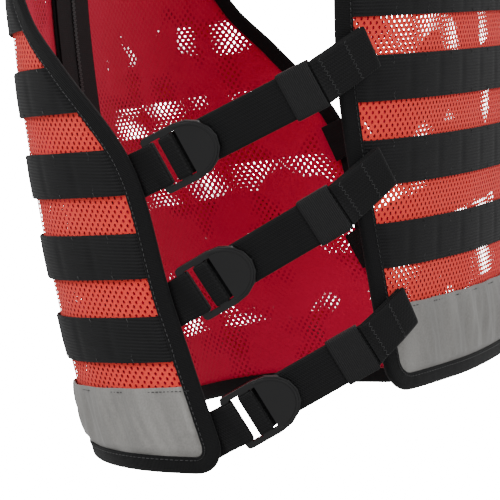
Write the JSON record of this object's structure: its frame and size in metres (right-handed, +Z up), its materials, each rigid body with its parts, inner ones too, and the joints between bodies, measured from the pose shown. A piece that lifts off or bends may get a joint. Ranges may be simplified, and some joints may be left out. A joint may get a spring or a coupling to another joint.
{
  "type": "utility work vest",
  "caption": "Sleeveless mesh work vest with rows of load webbing, bound edges, reflective hem bands, a front zip and buckled side straps.",
  "frame": {"origin": "midway between the shoulders, at the height of the shoulder line where the vest sits on its wearer", "axes": "+Z up, -Y out of the front, +X towards the wearer's left"},
  "size_m": [0.3472, 0.2766, 0.6235],
  "materials": {
    "mesh_fabric": "matte open warp-knit mesh",
    "black_webbing": "matte woven webbing",
    "binding_tape": "matte grosgrain tape",
    "reflective_tape": "satin coated cloth",
    "elastic": "matte knitted elastic",
    "plastic": "moulded, softly glossy"
  },
  "bodies": {
    "root": {"front_mesh_left": "mesh_fabric", "front_mesh_right": "mesh_fabric", "back_mesh": "mesh_fabric", "front_binding_left": "binding_tape", "front_binding_right": "binding_tape", "back_binding": "binding_tape", "front_webbing_left_1": "black_webbing", "front_webbing_left_2": "black_webbing", "front_webbing_left_3": "black_webbing", "front_webbing_left_4": "black_webbing", "front_webbing_left_5": "black_webbing", "front_webbing_left_6": "black_webbing", "front_webbing_right_1": "black_webbing", "front_webbing_right_2": "black_webbing", "front_webbing_right_3": "black_webbing", "front_webbing_right_4": "black_webbing", "front_webbing_right_5": "black_webbing", "front_webbing_right_6": "black_webbing", "back_webbing_1": "black_webbing", "back_webbing_2": "black_webbing", "back_webbing_3": "black_webbing", "back_webbing_4": "black_webbing", "back_webbing_5": "black_webbing", "back_webbing_6": "black_webbing", "back_webbing_7": "black_webbing", "front_reflective_left": "reflective_tape", "front_reflective_right": "reflective_tape", "back_reflective": "reflective_tape", "front_placket": "binding_tape", "zip_tape_left": "binding_tape", "zip_tape_right": "binding_tape", "zip_chain": "plastic", "zip_slider": "plastic", "side_strap_left_1": "black_webbing", "side_keeper_left_1": "elastic", "side_buckle_left_1": "plastic", "side_loop_left_1": "black_webbing", "side_strap_left_2": "black_webbing", "side_keeper_left_2": "elastic", "side_buckle_left_2": "plastic", "side_loop_left_2": "black_webbing", "side_strap_left_3": "black_webbing", "side_keeper_left_3": "elastic", "side_buckle_left_3": "plastic", "side_loop_left_3": "black_webbing", "side_strap_right_1": "black_webbing", "side_keeper_right_1": "elastic", "side_buckle_right_1": "plastic", "side_loop_right_1": "black_webbing", "side_strap_right_2": "black_webbing", "side_keeper_right_2": "elastic", "side_buckle_right_2": "plastic", "side_loop_right_2": "black_webbing", "side_strap_right_3": "black_webbing", "side_keeper_right_3": "elastic", "side_buckle_right_3": "plastic", "side_loop_right_3": "black_webbing"}
  },
  "joints": []
}
